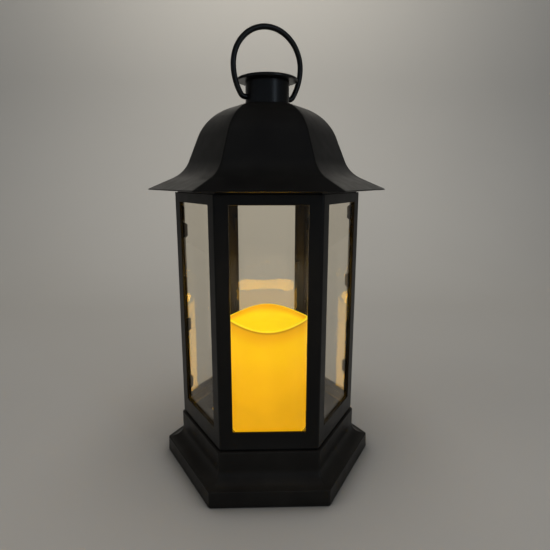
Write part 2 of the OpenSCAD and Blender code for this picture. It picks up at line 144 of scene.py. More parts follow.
coatTexture = {
    "mottle": (42, 4), "span": (0.35, 0.68), "patches": (90, 5), "bump": (0.25, 0.00006), "metal": 0.0,
    # painted highlight: sharp edges are given a lighter colour, found by pointiness
    "edgeHighlightSpan": (0.53, 0.62), "edgeHighlightMost": 0.35,  # from a flat face to a sharp edge
}
plasticTexture = {"mottle": (60, 4), "span": (0.3, 0.7), "patches": (240, 3), "gloss": 0.5, "metal": 0.0}
metalTexture = {"span": (0.35, 0.65), "bump": (0.15, 0.00004), "gloss": 0.5, "metal": 1.0}
surfaces = {
    "coat": {
        **coatTexture, "name": "satinBlackCoat", "roughness": (0.28, 0.36), "gloss": 0.17,
        "colours": ((0.0034, 0.0032, 0.0031), (0.0054, 0.0051, 0.0047)), "edgeHighlight": (0.016, 0.0156, 0.015),
        "grain": (1500, 2),  # bumps of the powder coat, per metre
    },
    "inside": {
        **coatTexture, "name": "mattBlackInside", "roughness": (0.55, 0.65), "gloss": 0.05,
        "colours": ((0.0042, 0.0042, 0.0045), (0.0064, 0.0063, 0.0064)), "edgeHighlight": (0.012, 0.0118, 0.0115),
        "grain": (1500, 2),
    },
    "moulding": {
        **coatTexture, "name": "blackMoulding", "roughness": (0.3, 0.38), "gloss": 0.11,
        "colours": ((0.0096, 0.0087, 0.0076), (0.0136, 0.0123, 0.0106)), "edgeHighlight": (0.018, 0.0176, 0.017),
        "grain": (700, 2),
    },
    "inner": {
        **plasticTexture, "name": "innerPlastic", "colours": ((0.016, 0.016, 0.018), (0.024, 0.024, 0.026)),
        "roughness": (0.44, 0.56), "grain": (900, 2), "bump": (0.4, 0.00008),
    },
    "knob": {
        **plasticTexture, "name": "knobPlastic", "colours": ((0.05, 0.05, 0.054), (0.07, 0.07, 0.074)),
        "roughness": (0.36, 0.48), "grain": (800, 2), "bump": (0.4, 0.00006),
    },
    "rubber": {
        **plasticTexture, "name": "footRubber", "colours": ((0.008, 0.008, 0.008), (0.014, 0.0138, 0.0135)),
        "roughness": (0.69, 0.81), "grain": (1200, 2), "bump": (0.4, 0.0001),
    },
    "zinc": {
        **metalTexture, "name": "zincPlate", "colours": ((0.5, 0.51, 0.53), (0.66, 0.66, 0.67)),
        "roughness": (0.24, 0.4), "mottle": (400, 3),
    },
    "blackZinc": {
        **metalTexture, "name": "blackZincPlate", "colours": ((0.012, 0.012, 0.013), (0.022, 0.022, 0.023)),
        "roughness": (0.42, 0.58), "mottle": (400, 3),
    },
    "nickel": {
        **metalTexture, "name": "nickelPlate", "colours": ((0.58, 0.56, 0.53), (0.7, 0.69, 0.66)),
        "roughness": (0.18, 0.34), "mottle": (400, 3, (1, 4, 1)),
    },
    "jacket": {
        **metalTexture, "name": "cellJacket", "colours": ((0.16, 0.17, 0.19), (0.24, 0.25, 0.27)),
        "roughness": (0.28, 0.44), "mottle": (400, 3, (0.2, 2, 2)),
    },
}


def makeSurface(look):
    mat, tree, shader = startMaterial(look["name"])
    setSockets(shader, {"Specular IOR Level": look["gloss"], "Metallic": look["metal"]})
    cloud = noise(tree, *look["mottle"])  # on metal it gives the streaks of all three
    patches = noise(tree, *look["patches"]) if "patches" in look else cloud
    grain = noise(tree, *look["grain"]) if "grain" in look else cloud
    colour = twoTone(tree, cloud, look["colours"], look["span"])
    # painted highlight on sharp edges: lighter colour where the pointiness is high
    if "edgeHighlight" in look:
        edges = addNode(tree, "NewGeometry").outputs["Pointiness"]
        edgeSheen = remap(tree, edges, 0.0, look["edgeHighlightMost"], *look["edgeHighlightSpan"])
        colour = blendColours(tree, edgeSheen, colour, look["edgeHighlight"])
    feed(tree, shader, {"Base Color": colour, "Roughness": remap(tree, patches, *look["roughness"])})
    bump(tree, shader, grain, *look["bump"])
    return mat


glassLook = {
    "tint": ((0.985, 0.952, 0.875), (0.995, 0.966, 0.895)), "shadowTint": (0.98, 0.955, 0.89, 1), "ior": 1.31,
    "tintNoise": (30, 6, (1, 1, 0.4)), "tintSpan": (0.4, 0.7), "wave": (14, 1), "bump": (0.06, 0.00035),
}


def windowGlass():
    mat, tree, shader = startMaterial("clearPane")
    tint = twoTone(tree, noise(tree, *glassLook["tintNoise"]), glassLook["tint"], glassLook["tintSpan"])
    link(tree, tint, shader.inputs["Base Color"])
    setSockets(shader, {"IOR": glassLook["ior"], "Transmission Weight": 1.0, "Roughness": 0.0})
    bump(tree, shader, noise(tree, *glassLook["wave"]), *glassLook["bump"])
    clear = addNode(tree, "BsdfTransparent", {"Color": glassLook["shadowTint"]})
    path = addNode(tree, "LightPath")
    mix = addNode(tree, "MixShader")
    link(tree, path.outputs["Is Shadow Ray"], mix.inputs[0])
    link(tree, shader.outputs["BSDF"], mix.inputs[1])
    link(tree, clear.outputs["BSDF"], mix.inputs[2])
    link(tree, mix.outputs["Shader"], tree.nodes["Material Output"].inputs["Surface"])
    return mat


boardLook = {
    "mask": (0.012, 0.11, 0.035, 1), "copper": (0.03, 0.2, 0.07, 1),
    "tracks": 260, "trackWide": 0.03, "grain": 300, "roughness": (0.22, 0.34),
}


def circuitBoard():
    mat, tree, shader = startMaterial("greenBoard")
    tracks = addNode(tree, "TexBrick", {
        "Scale": boardLook["tracks"],
        "Mortar Size": boardLook["trackWide"],
        "Color1": boardLook["mask"],
        "Color2": boardLook["mask"],
        "Mortar": boardLook["copper"],
    })
    link(tree, objectPlace(tree), tracks.inputs["Vector"])
    feed(tree, shader, {
        "Base Color": tracks.outputs["Color"],
        "Roughness": remap(tree, noise(tree, boardLook["grain"]), *boardLook["roughness"]),
    })
    return mat


leadLook = {
    "left": (0.3, 0.012, 0.01), "right": (0.012, 0.012, 0.013), "between": 0.0002,
    "grain": 900, "roughness": (0.4, 0.55),
}


def leadInsulation():
    mat, tree, shader = startMaterial("leadInsulation")
    across = splitPlace(tree, objectPlace(tree))["X"]
    side = share(tree, across, -leadLook["between"], leadLook["between"])
    feed(tree, shader, {
        "Base Color": blendColours(tree, side, leadLook["left"], leadLook["right"]),
        "Roughness": remap(tree, noise(tree, leadLook["grain"]), *leadLook["roughness"]),
    })
    return mat


# The wax's emission is painted glow, standing in for the LED's light through the wax: brighter towards the
# top and in the dish's middle, darker at the dish's edge, a painted highlight along the lip, painted shade in
# a band under the lip and near the rim, and dimmer on the side away from the LED.
waxLook = {
    "foot": (0.815, 0.402, 0.003), "middle": (0.945, 0.486, 0.003), "upper": (1.0, 0.55, 0.003),
    "nearLipShade": (0.8, 0.382, 0.003), "underLipShade": (0.5, 0.21, 0.002), "lipGlow": (1.0, 0.79, 0.02),
    "dish": (1.0, 0.7, 0.006), "dishEdge": (0.88, 0.39, 0.003),
    "wallStops": ((0.3, "foot"), (0.6, "middle"), (0.76, "upper")),  # shares of the height
    "dishStops": ((0.4, "dish"), (1.0, "dishEdge")),
    "dishFoot": 1.0,  # the dish's colours start this far below its floor
    # depths below the rim, in mm
    "dishFade": (0.4, 6.4), "lipFade": (0.8, 1.76), "underFade": (1.92, 3.68), "nearFade": (3.5, 17.0),
    "lipIn": 1.6, "skinIn": (0.7, 0.35),  # in from the wall
    "skinGloss": 0.15,  # the dish has none
    "sideFade": 0.9,  # glow left at the side away from the LED
    "clouds": (26, 3), "cloudLevel": (0.95, 1.04),
    "skin": ((0.15, 0.07, 0.003), (0.18, 0.085, 0.0035)), "mottle": (50, 4),
    "patches": (160, 3), "roughness": (0.3, 0.42), "grain": (220, 3), "bump": (0.2, 0.0001),
}


def glowingWax(candle):
    mat, tree, shader = startMaterial("amberWaxPaintedGlow")
    look = waxLook
    place = splitPlace(tree, objectPlace(tree))
    rim = candle["rim"] * mm
    climb = share(tree, place["Z"], candle["foot"] * mm, rim)
    wall = ramp(tree, climb, [(at, look[name]) for at, name in look["wallStops"]])
    flat = addNode(tree, "CombineXYZ")
    link(tree, place["X"], flat.inputs["X"])
    link(tree, place["Y"], flat.inputs["Y"])
    reach = addNode(tree, "VectorMath")
    reach.operation = "LENGTH"
    link(tree, flat.outputs["Vector"], reach.inputs[0])
    out = reach.outputs["Value"]
    low = (candle["rim"] - candle["dishDepth"] - look["dishFoot"]) * mm
    rise = share(tree, place["Z"], low, rim + candle["wave"] * mm)
    dish = ramp(tree, rise, [(at, look[name]) for at, name in look["dishStops"]])
    drop = addNode(tree, "Attribute")
    drop.attribute_name = "rimDrop"
    below = drop.outputs["Fac"]
    dish = blendColours(tree, share(tree, below, *look["dishFade"]), look["dishEdge"], dish)
    # painted shade in bands below the rim, then a painted highlight right at the lip
    for depths, colour in (("nearFade", "nearLipShade"), ("underFade", "underLipShade"), ("lipFade", "lipGlow")):
        wall = blendColours(tree, share(tree, below, *look[depths]), look[colour], wall)
    lipGlow = share(tree, out, candle["dishRadius"] * mm, (candle["radius"] - look["lipIn"]) * mm)
    skin = share(tree, out, *[(candle["radius"] - v) * mm for v in look["skinIn"]])
    mouth = blendColours(tree, lipGlow, dish, look["lipGlow"])
    fade = remap(tree, place["X"], 1.0, look["sideFade"], 0.0, candle["radius"] * mm)
    level = addNode(tree, "Math")
    level.operation = "MULTIPLY"
    link(tree, fade, level.inputs[0])
    link(tree, remap(tree, noise(tree, *look["clouds"]), *look["cloudLevel"]), level.inputs[1])
    feed(tree, shader, {
        "Emission Color": blendColours(tree, skin, mouth, wall),
        "Emission Strength": level.outputs["Value"],
        "Base Color": twoTone(tree, noise(tree, *look["mottle"]), look["skin"]),
        "Roughness": remap(tree, noise(tree, *look["patches"]), *look["roughness"]),
        "Specular IOR Level": remap(tree, skin, 0.0, look["skinGloss"], 0.0, 1.0),
    })
    bump(tree, shader, noise(tree, *look["grain"]), *look["bump"])
    return mat


ledLook = {"colours": ((1.0, 0.5, 0.1), (1.0, 0.72, 0.25)), "grain": 500, "glow": 2.0, "roughness": 0.12}


def ledPlastic():
    mat, tree, shader = startMaterial("warmLed")
    glow = twoTone(tree, noise(tree, ledLook["grain"]), ledLook["colours"])
    feed(tree, shader, {"Emission Color": glow, "Base Color": glow})
    setSockets(shader, {"Emission Strength": ledLook["glow"], "Roughness": ledLook["roughness"]})
    return mat


candleSize = {
    "radius": 40.0, "foot": 23.7,
    "rim": 144.0,  # mean height of the rim
    "wave": 2.2, "tilt": 0.1, "hollow": 36.5, "hollowTop": 127.4, "middle": 0.5,
    "dishRadius": 37.5, "dishDepth": 13.5, "dishLift": 0.2, "dishSag": 1.2,
    "dishRing": (0.45, 0.6),  # shares of the dish's radius and sag
    "rounds": (0.3, 0.15, 1.1, 1.1, 9.5, 12, 0, 0, 2.0),  # from the foot over the rim to the hollow
    "step": 9, "rungs": 24, "around": 144, "sharp": 60,
    "dent": 0.12, "dentTwist": 200, "dentStart": 3, "dentClear": 0.2,  # slow waves of the wall
}

finishes = {key: makeSurface(look) for key, look in surfaces.items()}
finishes.update({
    "glass": windowGlass(),
    "wax": glowingWax(candleSize),
    "board": circuitBoard(),
    "lead": leadInsulation(),
    "led": ledPlastic(),
})
print("finishes made:", len(finishes))

# Mesh helpers: a form has an outline's corner rounds (0 is sharp) and the step of its arcs in degrees

weldGap = 2e-6  # closer points than this are one point
sharpAngle = 38
thinnest = 0.05  # radius of the small flat that closes a turned end
drillSides = 32
boxStep = 16  # degrees, on the round corners of a box
hair = 1e-4  # slack of a comparison
past = 2  # how far a cutter goes past a face
sunk = 0.05  # how far trim sinks into the face that it stands on


def faceOut(bm):
    bmesh.ops.recalc_face_normals(bm, faces=bm.faces[:])


def linkMesh(name, bm):
    mesh = bpy.data.meshes.new(name)
    bm.to_mesh(mesh)
    bm.free()
    obj = bpy.data.objects.new(name, mesh)
    bpy.context.scene.collection.objects.link(obj)
    return obj


def dressPiece(obj, sharp):
    mesh = obj.data
    bm = bmesh.new()
    bm.from_mesh(mesh)
    bmesh.ops.remove_doubles(bm, verts=bm.verts[:], dist=weldGap)
    bmesh.ops.dissolve_degenerate(bm, dist=weldGap, edges=bm.edges[:])
    bm.to_mesh(mesh)
    bm.free()
    mesh.polygons.foreach_set("use_smooth", [True] * len(mesh.polygons))
    mesh.set_sharp_from_angle(angle=math.radians(sharp))
    obj.modifiers.new("evenShading", "WEIGHTED_NORMAL").keep_sharp = True


def addPiece(name, bm, finish, nodes=(), body="lantern", sharp=sharpAngle):
    faceOut(bm)
    obj = linkMesh(name, bm)
    dressPiece(obj, sharp)
    obj.data.materials.append(finishes[finish])
    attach(obj, body)
    if nodes:
        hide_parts(*nodes)
    return obj


def cutAway(obj, bm):
    faceOut(bm)
    cutter = linkMesh("cutter", bm)
    obj.modifiers.clear()
    cut = obj.modifiers.new("cutAway", "BOOLEAN")
    cut.operation = "DIFFERENCE"
    cut.solver = "EXACT"
    cut.object = cutter
    bpy.context.view_layer.update()
    shown = obj.evaluated_get(bpy.context.evaluated_depsgraph_get())
    obj.data = bpy.data.meshes.new_from_object(shown)
    obj.modifiers.clear()
    bpy.data.objects.remove(cutter)
    dressPiece(obj, sharpAngle)


def heights(box):
    return box[0].z / mm, box[1].z / mm


def loft(bm, rings, closed=True):
    rows = [[bm.verts.new(Vector(p) * mm) for p in ring] for ring in rings]
    pairs = list(zip(rows, rows[1:]))
    if closed:
        pairs.append((rows[-1], rows[0]))
    for a, b in pairs:
        for i in range(len(a)):
            j = (i + 1) % len(a)
            bm.faces.new((a[i], a[j], b[j], b[i]))
    return rows


def cappedLoft(bm, rings):
    rows = loft(bm, rings, False)
    return [bm.faces.new(rows[0]), bm.faces.new(rows[-1])]


def softenEdges(bm, edges, arris, cuts=2, clamp=False):
    bmesh.ops.bevel(bm, geom=edges, offset=arris * mm, segments=cuts, profile=0.5,
                    affect="EDGES", clamp_overlap=clamp)


def softenCaps(bm, caps, arris):
    softenEdges(bm, [e for f in caps for e in f.edges], arris)


def turn(point, degrees):
    a = math.radians(degrees)
    return (point[0] * math.cos(a) - point[1] * math.sin(a), point[0] * math.sin(a) + point[1] * math.cos(a))


def roundCorner(a, p, b, radius, step):
    u = (a - p).normalized()
    v = (b - p).normalized()
    half = u.angle(v) / 2
    reach = radius / math.tan(half)
    middle = p + (u + v).normalized() * radius / math.sin(half)
    start = p + u * reach - middle
    sweep = start.angle_signed(p + v * reach - middle)  # clockwise is positive here
    cuts = max(2, math.ceil(abs(math.degrees(sweep)) / step))
    return [middle + Vector(turn(start, -math.degrees(sweep) * i / cuts)) for i in range(cuts + 1)]


def rounded(corners, form):
    points = [Vector(c) for c in corners]
    line = []
    for i, radius in enumerate(form["rounds"]):
        if radius:
            line += roundCorner(points[i - 1], points[i], points[(i + 1) % len(points)], radius, form["step"])
        else:
            line.append(points[i])
    return line


def hexRing(flat, z, corner, arcCuts, flatCuts):
    ring = []
    middle = (flat - corner) / math.cos(math.radians(30))
    turns = [math.radians(-30 + 60 * i / arcCuts) for i in range(arcCuts + 1)]
    arc = [(middle + corner * math.cos(a), corner * math.sin(a)) for a in turns]
    for k in range(6):
        ring += [turn(p, -60 + 60 * k) for p in arc]
        near = ring[-1]
        far = turn(arc[0], 60 * k)
        for i in range(1, flatCuts):
            t = i / flatCuts
            ring.append(tuple(near[n] * (1 - t) + far[n] * t for n in (0, 1)))
    return [(x, y, z) for x, y in ring]


def hexRings(corners, form):
    return [hexRing(p.x, p.y, form["corner"], *form["cuts"]) for p in rounded(corners, form)]


def turnedRings(outline, around, at=(0, 0, 0), along="z"):
    rings = []
    for radius, up in outline:
        ring = []
        for i in range(around):
            x, y = turn((max(radius, thinnest), 0), 360 * i / around)
            step = (x, y, up) if along == "z" else (up, x, y)
            ring.append([at[n] + step[n] for n in range(3)])
        rings.append(ring)
    return rings


def placesRound(radius, first=0, count=6):
    return [(*turn((radius, 0), first + 60 * k), 0) for k in range(count)]


def wireRing(middle, out, across, radius, sides):
    turns = [2 * math.pi * j / sides for j in range(sides)]
    return [middle + radius * (math.cos(t) * out + math.sin(t) * across) for t in turns]


def boxLine(low, high, radius):
    corners = [(low[0], low[1]), (high[0], low[1]), (high[0], high[1]), (low[0], high[1])]
    return rounded(corners, {"rounds": [radius] * 4, "step": boxStep})


def addPrism(bm, line, low, high, edge=0.0):
    caps = cappedLoft(bm, [[(p[0], p[1], z) for p in line] for z in (low, high)])
    if edge:
        softenCaps(bm, caps, edge)


# Roof: pressed sheet with an ogee section and soft ridges

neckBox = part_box("neck_tube")
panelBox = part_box("panel_front")
bodyFlat = -panelBox[0].y / mm
bodyFoot, bodyTop = heights(panelBox)
neckRadius = 19.5
roof = {
    "eave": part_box("roof_shell")[1].y / mm,
    "edge": 267.9,  # height of the eaves' upper edge
    "rise": 73.8, "sheet": 1.2, "shoulderOut": 27.5, "shoulderDrop": 5.6, "flareIn": 8.2, "flareRise": 14.5,
    "tuck": 0.6,  # how far the crown reaches in under the neck
    "rounds": (0, 42.0, 27.0, 0.52, 0.52, 28.2, 40.8, 0),  # out over the top, then back below
    "step": 3.5, "corner": 2.4, "cuts": (6, 8),
}


def movedPath(points, d):
    pts = [Vector(p) for p in points]
    ways = [(b - a).normalized() for a, b in zip(pts, pts[1:])]
    normals = [Vector((w.y, -w.x)) for w in ways]
    moved = [pts[0] - d * normals[0]]
    for p, m, n in zip(pts[1:], normals, normals[1:]):
        moved.append(p - d * (m + n) / (1 + m.dot(n)))
    return moved + [pts[-1] - d * normals[-1]]


def makeRoof():
    crown = roof["edge"] + roof["rise"]
    start = (neckRadius - roof["tuck"]) * math.cos(math.radians(30))
    slope = roof["shoulderDrop"] / roof["shoulderOut"]
    path = [
        (start, crown + (neckRadius - start) * slope),
        (neckRadius + roof["shoulderOut"], crown - roof["shoulderDrop"]),
        (bodyFlat - roof["flareIn"], roof["edge"] + roof["flareRise"]),
        (roof["eave"], roof["edge"]),
    ]
    bm = bmesh.new()
    loft(bm, hexRings(path + movedPath(path, -roof["sheet"])[::-1], roof))
    addPiece("roofShell", bm, "coat", ["roof_shell"])


makeRoof()
print("roof pressed")

# Neck, cap and bail

neck = {
    "wall": 1.2, "brim": 25.5, "flange": 1.2, "pinHole": 4.7, "drillLong": 60.0, "drillSides": 40,
    "rounds": (0.4, 0, 0.4, 0.4, 0.4, 0.4), "step": 30, "around": 128,
}
pivot = Vector(frame["joints"][0]["pos_m"]) / mm
swingAxis = Vector(frame["joints"][0]["axis"])
bailTurn = math.atan2(swingAxis.y, swingAxis.x)


def makeNeck():
    foot, top = heights(neckBox)
    inner = neckRadius - neck["wall"]
    brim = neck["brim"]
    shelf = foot + neck["flange"]
    bm = bmesh.new()
    corners = [(neckRadius, top), (neckRadius, shelf), (brim, shelf),
               (brim, foot), (inner, foot), (inner, top)]
    loft(bm, turnedRings(rounded(corners, neck), neck["around"]))
    obj = addPiece("neckTube", bm, "coat", ["neck_tube"])
    way = Matrix.Rotation(bailTurn, 4, "Z") @ Matrix.Rotation(math.pi / 2, 4, "Y")
    radius = neck["pinHole"] / 2 * mm
    drill = bmesh.new()
    bmesh.ops.create_cone(drill, cap_ends=True, segments=neck["drillSides"], radius1=radius, radius2=radius,
                          depth=neck["drillLong"] * mm, matrix=Matrix.Translation(pivot * mm) @ way)
    cutAway(obj, drill)


makeNeck()

cap = {
    "brim": 27.0, "edge": 2.4, "spigot": 18.2, "spigotDeep": 4.0, "middle": 0.4,
    "rollEnd": (2.2, 0.35),  # in and up from the brim
    "dome": (26.05, 2.4), "domeSteps": (3, 12),  # part of a quarter turn
    "rounds": (0, 0.6, 0.5, 0.95, 0.95, 0), "step": 15, "around": 128,
}


def makeCap():
    foot = heights(neckBox)[1]
    under = foot - cap["spigotDeep"]
    top = foot + cap["edge"]
    brim = cap["brim"]
    inward, upward = cap["rollEnd"]
    wide, rise = cap["dome"]
    first, last = cap["domeSteps"]
    outline = rounded([(cap["middle"], under), (cap["spigot"], under), (cap["spigot"], foot), (brim, foot),
                       (brim, top), (brim - inward, top + upward)], cap)
    for i in range(first, last):
        a = math.radians(90 * i / last)
        outline.append((wide * math.cos(a), top + rise * math.sin(a)))
    outline.append((cap["middle"], top + rise))
    bm = bmesh.new()
    cappedLoft(bm, turnedRings(outline, cap["around"]))
    addPiece("neckCap", bm, "coat", ["neck_cap"])


makeCap()

bail = {
    "wire": 2.4, "end": 21.0, "bend": 5.0, "side": 45.0, "half": 32.0,
    "cuts": (10, 14, 26), "lean": 3.0, "sides": 28,
    # headed end inside the neck: way out from the middle, radius
    "pin": ((13.3, 2.7), (13.55, 3.2), (14.25, 3.2), (14.5, 2.8), (14.55, 2.3), (20.6, 2.3), (21.0, 2.4)),
}


def bailLine():
    arm = bail["side"] - bail["bend"]
    sweep = math.degrees(math.acos((bail["end"] - bail["half"] + bail["side"]) / arm))
    drop = arm * math.sin(math.radians(sweep)) + bail["bend"]
    arcs = [
        ((bail["end"], bail["bend"]), bail["bend"], -90, -sweep),
        ((bail["half"] - bail["side"], drop), bail["side"], -sweep, 0),
        ((0, drop), bail["half"], 0, 90),
    ]
    line = [(x, 0, -90, radius) for x, radius in bail["pin"]]
    for (middle, radius, first, last), cuts in zip(arcs, bail["cuts"]):
        for i in range(1, cuts + 1):
            a = first + (last - first) * i / cuts
            x, z = turn((radius, 0), a)
            line.append((middle[0] + x, middle[1] + z, a, bail["wire"]))
    return line + [(-x, z, 180 - a, r) for x, z, a, r in reversed(line[:-1])]


def makeBail():
    stand = Matrix.Rotation(bailTurn, 4, "Z") @ Matrix.Rotation(math.radians(bail["lean"]), 4, "X")
    rings = []
    for x, z, a, radius in bailLine():
        out = Vector((math.cos(math.radians(a)), 0, math.sin(math.radians(a))))
        ring = wireRing(Vector((x, 0, z)), out, Vector((0, 1, 0)), radius, bail["sides"])
        rings.append([pivot + (stand @ p) for p in ring])
    bm = bmesh.new()
    cappedLoft(bm, rings)
    addPiece("bailWire", bm, "coat", ["bail"], body="bail")


makeBail()
print("neck, cap and bail made")

# Window panels: folded sheet with a round outer corner

panel = {
    "sheet": 2.0, "fold": 2.4, "foldCuts": 5, "windowWide": 63.2, "windowTall": 194.5, "sill": 15.8,
    "arris": 0.4, "arrisCuts": 3, "sharp": 50,
}
windowFoot = bodyFoot + panel["sill"]
windowTop = windowFoot + panel["windowTall"]
windowHalf = panel["windowWide"] / 2
innerFlat = bodyFlat - panel["sheet"]


def makePanel(k):
    tan30 = math.tan(math.radians(30))
    arc = []
    for i in range(panel["foldCuts"] + 1):
        a = math.radians(30 * i / panel["foldCuts"])
        x = bodyFlat * tan30 - panel["fold"] * tan30 + panel["fold"] * math.sin(a)
        arc.append((x, -bodyFlat + panel["fold"] * (1 - math.cos(a))))
    outer = [(-x, y) for x, y in reversed(arc)] + [(-windowHalf, -bodyFlat), (windowHalf, -bodyFlat)] + arc
    innerHalf = innerFlat * tan30
    inner = [(x, -innerFlat) for x in (-innerHalf, -windowHalf, windowHalf, innerHalf)]
    levels = [bodyFoot, windowFoot, windowTop, bodyTop]
    bm = bmesh.new()
    soft = set()

    def column(line):
        return [[bm.verts.new(Vector((*turn(p, 60 * k), z)) * mm) for z in levels] for p in line]

    front = column(outer)
    rear = column(inner)
    hole = len(arc)
    for finish, grid, gap in ((0, front, hole), (1, rear, 1)):
        for c in range(len(grid) - 1):
            for r in range(3):
                if not (c == gap and r == 1):
                    face = bm.faces.new((grid[c][r], grid[c + 1][r], grid[c + 1][r + 1], grid[c][r + 1]))
                    face.material_index = finish
    for r in (0, 3):
        rim = bm.faces.new([c[r] for c in front] + [c[r] for c in reversed(rear)])
        soft.update(e for e in rim.edges if not (e.verts[0] in (front[0][r], front[-1][r]) and
                                                 e.verts[1] in (rear[0][r], rear[-1][r])))
    for a, b in ((front[0], rear[0]), (front[-1], rear[-1])):
        for r in range(3):
            bm.faces.new((a[r], b[r], b[r + 1], a[r + 1]))
    near = [front[hole][1], front[hole + 1][1], front[hole + 1][2], front[hole][2]]
    far = [rear[1][1], rear[2][1], rear[2][2], rear[1][2]]
    for i in range(4):
        j = (i + 1) % 4
        reveal = bm.faces.new((near[i], near[j], far[j], far[i]))
        soft.update(e for e in reveal.edges if set(e.verts) not in ({near[i], far[i]}, {near[j], far[j]}))
    faceOut(bm)
    softenEdges(bm, list(soft), panel["arris"], panel["arrisCuts"], clamp=True)
    side = sideNames[k]
    obj = addPiece("panel." + side, bm, "coat", ["panel_" + side], sharp=panel["sharp"])
    obj.data.materials.append(finishes["inside"])


for k in range(6):
    makePanel(k)

pane = {"thick": 2.0, "lap": 3.0, "arris": 0.35, "sharp": 20}


def makePane(k):
    wide = windowHalf + pane["lap"]
    low = windowFoot - pane["lap"]
    high = windowTop + pane["lap"]
    corners = [(-wide, low), (wide, low), (wide, high), (-wide, high)]
    faces = (-innerFlat, -innerFlat + pane["thick"])
    bm = bmesh.new()
    cappedLoft(bm, [[(*turn((x, y), 60 * k), z) for x, z in corners] for y in faces])
    faceOut(bm)
    softenEdges(bm, bm.edges[:], pane["arris"], 1)
    side = sideNames[k]
    addPiece("pane." + side, bm, "glass", ["pane_" + side], sharp=pane["sharp"])


for k in range(6):
    makePane(k)

clip = {
    "tall": 14.0, "sheet": 1.5, "slack": 0.1, "hookIn": 0.2, "rounds": (0, 0, 1.6, 0, 0, 0), "step": 15,
    "tipTaper": 1.4, "tipLong": 0.1, "arris": 0.25, "sharp": 45,
    "right": (0.063, 0.376, 0.859),  # shares of the window's height
    "left": (0.14, 0.604, 0.946),
}


def addClip(bm, k, hand, middle):
    leg = windowHalf + pane["lap"] + clip["slack"]
    hook = windowHalf + clip["hookIn"]
    deep = pane["thick"] + clip["slack"]
    out = leg + clip["sheet"]
    back = deep + clip["sheet"]
    line = rounded([(leg, 0), (out, 0), (out, back), (hook, back), (hook, deep), (leg, deep)], clip)
    layers = []
    for end in (-1, 1):
        ring = []
        for p in line:
            drawn = clip["tipTaper"] if p.x < hook + clip["tipLong"] else 0.0
            x, y = turn((hand * p.x, -innerFlat + p.y), 60 * k)
            ring.append((x, y, middle + end * (clip["tall"] / 2 - drawn)))
        layers.append(ring)
    softenCaps(bm, cappedLoft(bm, layers), clip["arris"])


def makeClips():
    bm = bmesh.new()
    for k in range(6):
        for hand, shares in ((1, clip["right"]), (-1, clip["left"])):
            for up in shares:
                addClip(bm, k, hand, windowFoot + up * panel["windowTall"])
    addPiece("paneClips", bm, "inside", ["pane_clips"], sharp=clip["sharp"])


makeClips()
print("panels, panes and clips made")

# Base, tray, feet

tray = {
    "reveal": 1.2, "flange": 2.2, "pan": 50.0, "upstand": 9.0, "sheet": 1.2, "gap": 0.1, "hole": 4.3,
    "rounds": (0, 2.2, 0, 0.3, 0.3, 0, 0.4, 0.4, 1.6, 1.2, 1.4, 0), "step": 15, "corner": 1.0, "cuts": (4, 4),
}


def makeTray():
    under = heights(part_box("floor_tray"))[0]
    seat = bodyFoot - tray["flange"]
    top = bodyFoot + tray["upstand"]
    out = bodyFlat - tray["reveal"]
    wall = innerFlat - tray["gap"]
    inside = wall - tray["sheet"]
    floor = under + tray["sheet"]
    hole = tray["hole"]
    pan = tray["pan"]
    well = pan - tray["sheet"]
    bm = bmesh.new()
    loft(bm, hexRings([
        (hole, under), (pan, under), (pan, seat), (out, seat), (out, bodyFoot), (wall, bodyFoot),
        (wall, top), (inside, top), (inside, bodyFoot), (well, bodyFoot), (well, floor), (hole, floor),
    ], tray))
    addPiece("floorTray", bm, "coat", ["floor_tray"])


makeTray()

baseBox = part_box("base_moulding")
base = {
    "draft": 0.5, "bandTop": 15.3, "rim": 76.2, "wall": 2.0, "deck": 26.0,
    "rounds": (0.5, 0.85, 12.4, 1.0, 0.4, 0.4, 0.5, 13.0, 0.3, 0.3),  # the two large ones are the cove
    "step": 7, "corner": 2.6, "cuts": (6, 6),
    "bossPlace": 68.5, "boss": (4.2, 1.5), "bossFoot": 5.0, "bossSides": 24,
}


def makeBase():
    wide = baseBox[1].y / mm
    foot, top = heights(baseBox)
    band = base["bandTop"]
    rim = base["rim"]
    deck = rim - base["deck"]
    wall = base["wall"]
    ceiling = top - wall
    bm = bmesh.new()
    loft(bm, hexRings([
        (wide, foot), (wide - base["draft"], band), (rim, band), (rim, top), (deck, top), (deck, ceiling),
        (rim - wall, ceiling), (rim - wall, band - wall), (wide - wall, band - wall), (wide - wall, foot),
    ], base))
    outer, bore = base["boss"]
    low = base["bossFoot"]
    boss = [(outer, low), (outer, ceiling), (bore, ceiling), (bore, low)]
    for place in placesRound(base["bossPlace"], 30):
        loft(bm, turnedRings(boss, base["bossSides"], place))
    addPiece("baseMoulding", bm, "moulding", ["base_moulding"])


makeBase()

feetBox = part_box("feet")
footTall = heights(feetBox)[1]
footPad = {  # the outline is radius and height
    "outline": ((0.3, 0.5), (3.2, 0.5), (3.8, 0), (7.0, 0), (7.0, footTall), (0.3, footTall)),
    "rounds": (0, 0.3, 0.2, 0.8, 0.2, 0), "step": 18, "around": 40, "place": feetBox[1].x / mm - 7.0,
}


def makeFeet():
    outline = rounded(footPad["outline"], footPad)
    bm = bmesh.new()
    for place in placesRound(footPad["place"]):
        loft(bm, turnedRings(outline, footPad["around"], place))
    addPiece("rubberFeet", bm, "rubber", ["feet"])


makeFeet()
print("base, tray and feet made")

# Candle: hollow wax with a wavy melted rim


def rimHeight(degrees):
    a = math.radians(degrees)
    return candleSize["rim"] - candleSize["wave"] * math.sin(3 * a) + candleSize["tilt"] * math.sin(a)


